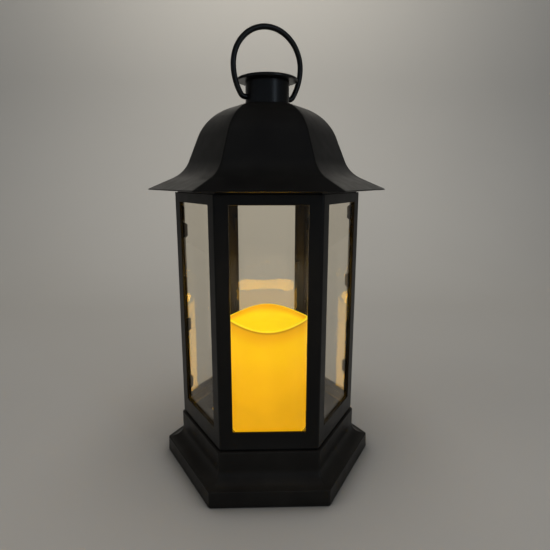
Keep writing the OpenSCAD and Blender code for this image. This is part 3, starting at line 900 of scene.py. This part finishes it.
def candleOutline(rimAt):
    c = candleSize
    dish = c["rim"] - c["dishDepth"]
    wide = c["dishRadius"]
    ringOut, ringSag = c["dishRing"]
    line = rounded([
        (c["hollow"], c["foot"]), (c["radius"], c["foot"]), (c["radius"], rimAt), (wide, rimAt),
        (wide, dish + c["dishLift"]), (wide * ringOut, dish - c["dishSag"] * ringSag),
        (c["middle"], dish - c["dishSag"]), (c["middle"], c["hollowTop"]), (c["hollow"], c["hollowTop"]),
    ], c)
    wall = [p for p in line if p.x > c["radius"] - hair]
    low = wall[0].y
    high = wall[-1].y
    start = line.index(wall[0])
    rungs = [Vector((c["radius"], low + (high - low) * i / c["rungs"])) for i in range(1, c["rungs"])]
    return line[:start + 1] + rungs + line[start + 1:]


def makeCandle():
    c = candleSize
    columns = []
    for i in range(c["around"]):
        a = 360 * i / c["around"]
        column = []
        for p in candleOutline(rimHeight(a)):
            up = (p.y - c["foot"]) / (c["rim"] - c["foot"])
            swell = 1 + math.sin(math.radians(2 * a + c["dentTwist"] * up))
            dent = c["dent"] * swell * max(0.0, min(1.0, c["dentStart"] * up))
            radius = p.x - dent if p.x > c["dishRadius"] + c["dentClear"] else p.x
            column.append((*turn((radius, 0), a), p.y))
        columns.append(column)
    bm = bmesh.new()
    drop = bm.verts.layers.float.new("rimDrop")
    for i, row in enumerate(loft(bm, columns)):
        top = rimHeight(360 * i / c["around"])
        for vert in row:
            vert[drop] = top - vert.co.z / mm
    addPiece("candleWax", bm, "wax", ["candle_shell"], sharp=c["sharp"])


makeCandle()
print("candle poured")

# Underside: plate, battery cover, screws and switch knob

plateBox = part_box("bottom_plate")
plate = {
    "flat": plateBox[1].y / mm, "middle": 12,
    "rounds": (0, 0.6, 0.3, 0), "step": 20, "corner": 2.4, "cuts": (4, 2),
    "openings": (((-33.8, -23.65), (33.8, 23.65)), ((-2.3, 34.05), (8.3, 38.65))),  # battery bay, switch
    "round": 1.2,
    "rim": 1.6,  # raised frame round each opening
    "rimTall": 0.6, "rimArris": 0.2,
    "rimBend": 1.2,  # edges bent more than this, in radians, are softened
    "screwPlace": 68.5, "screwHole": 1.7, "footSeat": 7.1, "footDeep": 0.8,
}


def makePlate():
    low, high = heights(plateBox)
    flat = plate["flat"]
    middle = plate["middle"]
    bm = bmesh.new()
    cappedLoft(bm, hexRings([(middle, low), (flat, low), (flat, high), (middle, high)], plate))
    obj = addPiece("bottomPlate", bm, "moulding", ["bottom_plate"])
    cut = bmesh.new()
    for bounds in plate["openings"]:
        addPrism(cut, boxLine(*bounds, plate["round"]), low - past, high + past)
    hole = [(plate["screwHole"], z) for z in (low - past, high + past)]
    seat = [(plate["footSeat"], z) for z in (low - past, low + plate["footDeep"])]
    for screw, pad in zip(placesRound(plate["screwPlace"], 30), placesRound(footPad["place"])):
        cappedLoft(cut, turnedRings(hole, drillSides, screw))
        cappedLoft(cut, turnedRings(seat, footPad["around"], pad))
    cutAway(obj, cut)
    foot = low - plate["rimTall"]
    bm = bmesh.new()
    for near, far in plate["openings"]:
        inner = boxLine(near, far, plate["round"])
        rim = plate["rim"]
        outer = boxLine([v - rim for v in near], [v + rim for v in far], plate["round"] + rim)
        sides = ((outer, foot), (outer, low + sunk), (inner, low + sunk), (inner, foot))
        loft(bm, [[(*p, z) for p in line] for line, z in sides])
    faceOut(bm)
    level = (low - plate["rimTall"] / 2) * mm
    lower = [e for e in bm.edges if all(v.co.z < level for v in e.verts)]
    softenEdges(bm, [e for e in lower if e.calc_face_angle(0) > plate["rimBend"]], plate["rimArris"])
    addPiece("plateFrames", bm, "moulding")


makePlate()

cover = {
    "round": 1.0, "edge": 0.35, "screw": 28.5, "screwHole": 1.45, "ribs": 6, "ribStart": -29.0,
    "ribStep": 2.2, "ribWide": 1.1, "ribLong": 16.0, "ribTall": 0.5, "ribRound": 0.5, "ribArris": 0.15,
}


def makeCover():
    low, high = [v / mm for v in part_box("battery_cover")]
    bm = bmesh.new()
    addPrism(bm, boxLine(low.xy, high.xy, cover["round"]), low.z, high.z, cover["edge"])
    obj = addPiece("batteryCover", bm, "moulding", ["battery_cover"])
    cut = bmesh.new()
    hole = [(cover["screwHole"], z) for z in (low.z - past, high.z + past)]
    cappedLoft(cut, turnedRings(hole, drillSides, (cover["screw"], 0, 0)))
    cutAway(obj, cut)
    bm = bmesh.new()
    for i in range(cover["ribs"]):
        x = cover["ribStart"] + i * cover["ribStep"]
        half = cover["ribLong"] / 2
        line = boxLine((x, -half), (x + cover["ribWide"], half), cover["ribRound"])
        addPrism(bm, line, low.z - cover["ribTall"], low.z + sunk, cover["ribArris"])
    addPiece("coverGrip", bm, "moulding")


makeCover()

screwSets = {
    "deckScrews": {"node": "deck_screws", "finish": "blackZinc", "out": 63.2, "first": 0, "count": 6,
                   "shank": 3.0, "head": 3.0, "tall": 1.6},
    "plateScrews": {"node": "plate_screws", "finish": "zinc", "out": 68.5, "first": 30, "count": 6,
                    "shank": 3.0, "head": 3.0, "tall": 1.6},
    "coverScrew": {"node": "cover_screw", "finish": "zinc", "out": 28.5, "first": 0, "count": 1,
                   "shank": 2.5, "head": 2.25, "tall": 1.28},
}
screwForm = {
    "crown": 0.62, "brow": 0.5, "cross": (0.6, 0.11, 0.5),  # shares of head, height and shank
    "tip": (0.8, 0.5),  # length, share of the shank
    "rounds": (0, 1.2, 0.8, 0.15, 0, 0, 0, 0), "step": 15, "around": 32,
    "twist": 17,  # each cross stands a little further round
}


def makeScrews(name, kind):
    low, high = heights(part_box(kind["node"]))
    head = kind["head"]
    tall = kind["tall"]
    shank = kind["shank"] / 2
    tipLong, tipShare = screwForm["tip"]
    outline = rounded([
        (thinnest, low), (head * screwForm["crown"], low), (head, low + tall * screwForm["brow"]),
        (head, low + tall), (shank, low + tall), (shank, high - tipLong), (shank * tipShare, high),
        (thinnest, high),
    ], screwForm)
    long, thin, deep = [a * b for a, b in zip(screwForm["cross"], (head, kind["shank"], tall))]
    bm = bmesh.new()
    cut = bmesh.new()
    for k, place in enumerate(placesRound(kind["out"], kind["first"], kind["count"])):
        cappedLoft(bm, turnedRings(outline, screwForm["around"], place))
        line = []
        for q in range(4):
            for p in ((long, -thin), (long, thin), (thin, thin)):
                line.append(turn(p, 90 * q + screwForm["twist"] * k))
        addPrism(cut, [(place[0] + x, place[1] + y) for x, y in line], low - 1, low + deep)
    obj = addPiece(name, bm, kind["finish"], [kind["node"]])
    cutAway(obj, cut)


for name, kind in screwSets.items():
    makeScrews(name, kind)

knob = {"ridges": 4, "crest": (0.25, 0.75), "groove": 0.4, "edge": 0.2}


def makeKnob():
    low, high = [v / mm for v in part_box("switch_knob")]
    step = (high.x - low.x) / knob["ridges"]
    valley = low.z + knob["groove"]
    line = [(high.x, high.z), (low.x, high.z)]
    for i in range(knob["ridges"]):
        x = low.x + i * step
        line += [(x, valley)] + [(x + step * at, low.z) for at in knob["crest"]]
    line.append((high.x, valley))
    bm = bmesh.new()
    softenCaps(bm, cappedLoft(bm, [[(x, y, z) for x, z in line] for y in (low.y, high.y)]), knob["edge"])
    addPiece("switchKnob", bm, "knob", ["switch_knob"], body="switch_knob")


makeKnob()
print("underside made")

# Battery bay, timer board and candle works: outlines are radius and place along the axis

cellRows = (-15.3, 0.0, 15.3)
cellUp = 12.55
cellJacket = {
    "outline": ((5.65, -27.0), (7.25, -27.0), (7.25, 22.3), (5.45, 22.3)),
    "rounds": (0, 0.5, 0.6, 0), "step": 18, "around": 48,
}
cellPlus = {
    "outline": ((5.0, 22.1), (4.8, 22.4), (2.6, 22.4), (2.6, 23.5), (thinnest, 23.5)),
    "rounds": (0, 0.1, 0.3, 0.35, 0), "step": 18, "around": 40,
}


def makeCells(name, form, finish, nodes=()):
    bm = bmesh.new()
    for y in cellRows:
        cappedLoft(bm, turnedRings(rounded(form["outline"], form), form["around"], (0, y, cellUp), "x"))
    addPiece(name, bm, finish, nodes)


makeCells("cellJackets", cellJacket, "jacket", ["cells"])
makeCells("cellTerminals", cellPlus, "nickel")

spring = {
    "start": -32.5, "end": -27.0, "wide": 4.35, "narrow": 2.54, "wire": 0.4,
    "turns": 4, "steps": 26, "sides": 8,
}


def makeSprings():
    bm = bmesh.new()
    count = spring["turns"] * spring["steps"]
    wire = spring["wire"]
    for y in cellRows:
        rings = []
        for i in range(count + 1):
            t = i / count
            a = 2 * math.pi * spring["turns"] * t
            reach = spring["wide"] + (spring["narrow"] - spring["wide"]) * t - wire
            x = spring["start"] + wire + (spring["end"] - spring["start"] - 2 * wire) * t
            out = Vector((0, math.cos(a), math.sin(a)))
            middle = Vector((x, y, cellUp)) + reach * out
            rings.append(wireRing(middle, out, Vector((1, 0, 0)), wire, spring["sides"]))
        cappedLoft(bm, rings)
    addPiece("contactSprings", bm, "nickel", ["contact_springs"])


makeSprings()

boardParts = {
    "chip": {"size": (4.9, 4.0), "round": 0.15, "edge": 0.15, "low": 0.1, "high": 1.5, "at": ((7.45, 35.0),)},
    "small": {"size": (2.0, 1.2), "round": 0.1, "edge": 0.1, "low": 0.0, "high": 0.6,
              "at": ((-1.0, 33.5), (1.6, 39.6), (10.6, 41.0))},
    "pins": {"size": (0.4, 1.1), "round": 0.05, "edge": 0.0, "low": 0.0, "high": 0.5,
             "at": [(5.55 + 1.27 * i, y) for i in range(4) for y in (32.55, 37.45)]},
    "can": {"at": (-4.0, 38.0), "radius": 2.5, "tall": 5.4, "around": 28,
            "rounds": (0, 0.3, 0.4, 0), "step": 18},
}


def addBlocks(bm, kind, top):
    wide, deep = [v / 2 for v in kind["size"]]
    for x, y in kind["at"]:
        line = boxLine((x - wide, y - deep), (x + wide, y + deep), kind["round"])
        addPrism(bm, line, top + kind["low"], top + kind["high"], kind["edge"])


def makeBoardParts():
    top = heights(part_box("timer_board"))[1]
    bm = bmesh.new()
    addBlocks(bm, boardParts["chip"], top)
    addBlocks(bm, boardParts["small"], top)
    addPiece("boardChips", bm, "inner")
    bm = bmesh.new()
    addBlocks(bm, boardParts["pins"], top)
    can = boardParts["can"]
    high = top + can["tall"]
    outline = rounded([(thinnest, top), (can["radius"], top), (can["radius"], high), (thinnest, high)], can)
    cappedLoft(bm, turnedRings(outline, can["around"], (*can["at"], 0)))
    addPiece("boardPins", bm, "nickel")


makeBoardParts()

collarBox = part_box("roof_collar")
collar = {
    "wall": 72.5, "sheet": 1.2, "rounds": (0.3, 0.3, 0.4, 0.3, 0.3, 1.0), "step": 18,
    "corner": 1.2, "cuts": (4, 4),
}


def makeCollar():
    low, high = heights(collarBox)
    flange = collarBox[1].y / mm
    wall = collar["wall"]
    inner = wall - collar["sheet"]
    under = high - collar["sheet"]
    bm = bmesh.new()
    loft(bm, hexRings([(inner, low), (wall, low), (wall, under),
                       (flange, under), (flange, high), (inner, high)], collar))
    addPiece("roofCollar", bm, "coat", ["roof_collar"])


makeCollar()

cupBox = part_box("candle_cup")
cup = {"sheet": 2.5, "hole": 3.5, "rounds": (0, 0.8, 0.4, 0.4, 1.5, 0), "step": 18, "around": 72}


def makeCup():
    foot, rim = heights(cupBox)
    wide = cupBox[1].x / mm
    inner = wide - cup["sheet"]
    floor = foot + cup["sheet"]
    hole = cup["hole"]
    corners = [(hole, foot), (wide, foot), (wide, rim), (inner, rim), (inner, floor), (hole, floor)]
    bm = bmesh.new()
    loft(bm, turnedRings(rounded(corners, cup), cup["around"]))
    addPiece("candleCup", bm, "inner", ["candle_cup"])


makeCup()

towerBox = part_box("led_tower")
tower = {
    "wall": 1.5, "rounds": (0, 0, 0.3, 0.3), "step": 30, "around": 48, "gussets": 4, "gussetHalf": 0.6,
    "gusset": ((-0.1, 0.0), (9.0, 0.0), (9.0, 1.0), (1.2, 14.0), (-0.1, 14.0)),  # out and up from the foot
}


def makeTower():
    wide = towerBox[1].x / mm
    low, high = heights(towerBox)
    bore = wide - tower["wall"]
    half = tower["gussetHalf"]
    tube = rounded([(bore, low), (wide, low), (wide, high), (bore, high)], tower)
    bm = bmesh.new()
    loft(bm, turnedRings(tube, tower["around"]))
    for k in range(tower["gussets"]):
        cappedLoft(bm, [[(*turn((wide + x, y), 45 + 90 * k), low + z) for x, z in tower["gusset"]]
                        for y in (-half, half)])
    addPiece("ledTower", bm, "inner", ["led_tower"])


makeTower()

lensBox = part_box("led")
lens = {"round": 2.5, "brim": 1.0, "domeCuts": 8, "around": 32}


def makeLens():
    wide = lensBox[1].x / mm
    low, high = heights(lensBox)
    radius = lens["round"]
    shelf = low + lens["brim"]
    outline = [(wide, low), (wide, shelf), (radius, shelf)]
    for i in range(lens["domeCuts"] + 1):
        a = math.radians(90 * i / lens["domeCuts"])
        outline.append((radius * math.cos(a), high - radius + radius * math.sin(a)))
    bm = bmesh.new()
    cappedLoft(bm, turnedRings(outline, lens["around"]))
    addPiece("ledLens", bm, "led", ["led"])


makeLens()
print("battery bay and candle works made")

# Finishes for the nodes that stay as they are

kept = {
    "inner": ["battery_box", "switch_body"],
    "nickel": ["contact_plates"],
    "board": ["led_board", "timer_board"],
    "lead": ["candle_leads"],
}
for finish, nodes in kept.items():
    for name in nodes:
        mesh = frame["nodes"][name].data
        mesh.materials.clear()
        mesh.materials.append(finishes[finish])
print("inner pieces dressed")

# Stage and lamps in metres, the glow and the camera in mm

stage = {
    "floorWide": 2.4, "wallWide": 1.06, "front": 1.4, "back": 1.15, "tall": 0.92,
    "narrow": 0.2,  # where the floor starts to draw in to the wall
    "rounds": (0, 0, 0, 0.6, 0), "step": 6,  # the bend up to the wall
    "paper": (0.33, 0.321, 0.302), "roughness": 0.9, "gloss": 0.1,
    "fleck": 0.02, "fleckNoise": (3, 4), "fleckSpan": (0.35, 0.65),
    "contact": 0.028,  # reach of the shade under the lantern's edge
    "contactSpan": (0.4, 0.92), "contactShade": 0.3, "contactSamples": 12,
}


def studioPaper():
    mat, tree, shader = startMaterial("studioPaper")
    pale = stage["paper"]
    dim = tuple(v * (1 - stage["fleck"]) for v in pale)
    shade = tuple(v * stage["contactShade"] for v in pale)
    # painted contact shadow: the paper's colour darkens where the lantern is near, found by an occlusion node
    near = addNode(tree, "AmbientOcclusion", {"Distance": stage["contact"]})
    near.samples = stage["contactSamples"]
    paper = twoTone(tree, noise(tree, *stage["fleckNoise"]), (dim, pale), stage["fleckSpan"])
    clear = share(tree, near.outputs["AO"], *stage["contactSpan"])
    link(tree, blendColours(tree, clear, shade, paper), shader.inputs["Base Color"])
    setSockets(shader, {"Roughness": stage["roughness"], "Specular IOR Level": stage["gloss"]})
    return mat


def makeStage():
    bendFoot = stage["back"] - stage["rounds"][3]
    line = rounded([(-stage["front"], 0), (stage["narrow"], 0), (bendFoot, 0), (stage["back"], 0),
                    (stage["back"], stage["tall"])], stage)
    bm = bmesh.new()
    rows = [[], []]
    for p in line:
        drawn = min(1.0, max(0.0, (p.x - stage["narrow"]) / (bendFoot - stage["narrow"])))
        wide = stage["floorWide"] + (stage["wallWide"] - stage["floorWide"]) * drawn
        rows[0].append(bm.verts.new((-wide, p.x, p.y)))
        rows[1].append(bm.verts.new((wide, p.x, p.y)))
    for i in range(len(line) - 1):
        bm.faces.new((rows[0][i], rows[1][i], rows[1][i + 1], rows[0][i + 1]))
    sweep = linkMesh("studioSweep", bm)
    sweep.data.polygons.foreach_set("use_smooth", [True] * len(sweep.data.polygons))
    sweep.data.materials.append(studioPaper())


makeStage()

lamps = {
    "overhead": {"at": (0.05, -0.12, 1.7), "look": (0.05, -0.15, 0.0), "size": (1.2, 1.2), "power": 20,
                 "spread": 180, "colour": (1.0, 0.975, 0.94), "mirrored": False},
    "wallWash": {"at": (0.0, 0.35, 1.5), "look": (0.0, 1.15, 0.8), "size": (0.8, 0.3), "power": 6,
                 "spread": 118, "colour": (1.0, 0.945, 0.85), "mirrored": False},
    "leftSoft": {"at": (-1.3, -0.5, 0.9), "look": (0, 0.1, 0.2), "size": (0.7, 0.9), "power": 2,
                 "spread": 180, "colour": (1.0, 0.96, 0.9), "mirrored": False},
    "frontFloor": {"at": (0.0, -0.95, 0.7), "look": (0.0, -0.951, 0.0), "size": (1.0, 0.4), "power": 3.4,
                   "spread": 70, "colour": (1.0, 0.86, 0.64), "mirrored": False},
    "window": {"at": (0.95, -1.15, 0.62), "look": (0, 0, 0.25), "size": (0.16, 0.6), "power": 2.4,
               "spread": 180, "colour": (0.72, 0.86, 1.0), "mirrored": True},
}


def areaLamp(name, shape, size, power, colour, place, turned):
    light = bpy.data.lights.new(name, "AREA")
    light.shape = shape
    light.size, light.size_y = size
    light.energy = power
    light.color = colour
    obj = bpy.data.objects.new(name, light)
    obj.location = place
    obj.rotation_euler = turned
    bpy.context.scene.collection.objects.link(obj)
    return obj


def makeLamps():
    for name, lamp in lamps.items():
        aim = Vector(lamp["look"]) - Vector(lamp["at"])
        turned = aim.to_track_quat("-Z", "Y").to_euler()
        obj = areaLamp(name, "RECTANGLE", lamp["size"], lamp["power"], lamp["colour"], lamp["at"], turned)
        obj.data.spread = math.radians(lamp["spread"])
        obj.visible_glossy = lamp["mirrored"]


makeLamps()

# The candle's glow, as the panes and the coat mirror it
glowLamps = {
    "colour": (1.0, 0.54, 0.01),
    "disc": {"up": 131.6, "wide": 50.0, "glow": 90.0},  # over the dish's floor
    "rings": {  # one slopes inside the dish, one stands round the wax
        "dishGlow": {"top": 36.9, "bottom": 29.5, "foot": 131.4, "glow": 42.0, "face": 1},
        "skirtGlow": {"top": 40.3, "bottom": 40.3, "foot": 24.0, "glow": 7.4, "face": -1},
    },
    "rimGap": 0.4, "sides": 24,
}


def addGlow(name, shape, size, glow, place, turned):
    wide, tall = [v * mm for v in size]
    area = wide * tall * (math.pi / 4 if shape == "DISK" else 1)
    power = glow * math.pi * area
    obj = areaLamp(name, shape, (wide, tall), power, glowLamps["colour"], Vector(place) * mm, turned)
    obj.visible_camera = False
    obj.visible_transmission = False
    obj.visible_diffuse = False


def makeGlow():
    disc = glowLamps["disc"]
    size = (disc["wide"], disc["wide"])
    addGlow("mouthGlow", "DISK", size, disc["glow"], (0, 0, disc["up"]), (math.pi, 0, 0))
    part = 2 * math.tan(math.pi / glowLamps["sides"])
    for i in range(glowLamps["sides"]):
        a = 360 * i / glowLamps["sides"]
        top = rimHeight(a - 90) - glowLamps["rimGap"]
        for name, ring in glowLamps["rings"].items():
            middle = (ring["top"] + ring["bottom"]) / 2
            deep = ring["top"] - ring["bottom"]
            rise = top - ring["foot"]
            size = (middle * part, math.hypot(deep, rise))
            place = (*turn((0, -middle), a), (top + ring["foot"]) / 2)
            turned = (ring["face"] * math.pi / 2 + math.atan2(deep, rise), 0, math.radians(a))
            addGlow("%s.%d" % (name, i), "RECTANGLE", size, ring["glow"], place, turned)


makeGlow()

room = {
    "low": (0.13, 0.138, 0.15),  # beyond the floor's front edge
    "front": (0.1, 0.115, 0.138),
    "panes": (0.48, 0.57, 0.69),  # a strip of daylight ahead of the lantern
    "side": (0.08, 0.078, 0.074),
    "flank": (0.135, 0.13, 0.122),  # side and back walls near the floor
    "topFront": (0.225, 0.23, 0.243),
    "topBack": (0.02, 0.02, 0.02),
    "aheadStops": ((0.12, "low"), (0.32, "front"), (0.4, "panes"), (0.52, "panes"), (0.6, "front")),
    "aheadSpan": (-0.2, 0.6),  # spans are sines of the height, or of the turn to the back
    "flankSpan": (0.05, 0.24),
    "aroundSpan": (-0.75, 0.3),
    "aboveSpan": (-0.55, -0.12),
    "climbSpan": (0.3, 0.75),
}


def makeWorld():
    world = bpy.data.worlds.new("studioRoom")
    bpy.context.scene.world = world
    world.use_nodes = True
    tree = world.node_tree
    way = splitPlace(tree, addNode(tree, "TexCoord").outputs["Generated"])
    up = way["Z"]
    along = way["Y"]
    stops = [(at, room[name]) for at, name in room["aheadStops"]]
    ahead = ramp(tree, share(tree, up, *room["aheadSpan"]), stops)
    beside = blendColours(tree, share(tree, up, *room["flankSpan"]), room["flank"], room["side"])
    around = blendColours(tree, share(tree, along, *room["aroundSpan"]), ahead, beside)
    above = blendColours(tree, share(tree, along, *room["aboveSpan"]), room["topFront"], room["topBack"])
    climb = share(tree, up, *room["climbSpan"])
    link(tree, blendColours(tree, climb, around, above), tree.nodes["Background"].inputs["Color"])


makeWorld()

camera = {
    "at": (-5.92, -426.72, 274.93), "down": 11.815, "turn": -1.75, "roll": 0.057,
    "focus": 448.66, "frame": 550,  # focal length in pixels of the photograph's frame
    "sensor": 36.0, "nearest": 0.01,
}


def makeCamera():
    data = bpy.data.cameras.new("photoCamera")
    data.sensor_width = camera["sensor"]
    data.lens = camera["focus"] / camera["frame"] * camera["sensor"]
    data.clip_start = camera["nearest"]
    obj = bpy.data.objects.new("photoCamera", data)
    obj.location = Vector(camera["at"]) * mm
    swing = Matrix.Rotation(math.radians(camera["turn"]), 4, "Z")
    tilt = Matrix.Rotation(math.radians(90 - camera["down"]), 4, "X")
    roll = Matrix.Rotation(math.radians(camera["roll"]), 4, "Z")
    obj.rotation_euler = (swing @ tilt @ roll).to_euler()
    bpy.context.scene.collection.objects.link(obj)
    bpy.context.scene.camera = obj


makeCamera()
bpy.context.scene.view_settings.view_transform = "Standard"
print("stage, lamps and camera set")
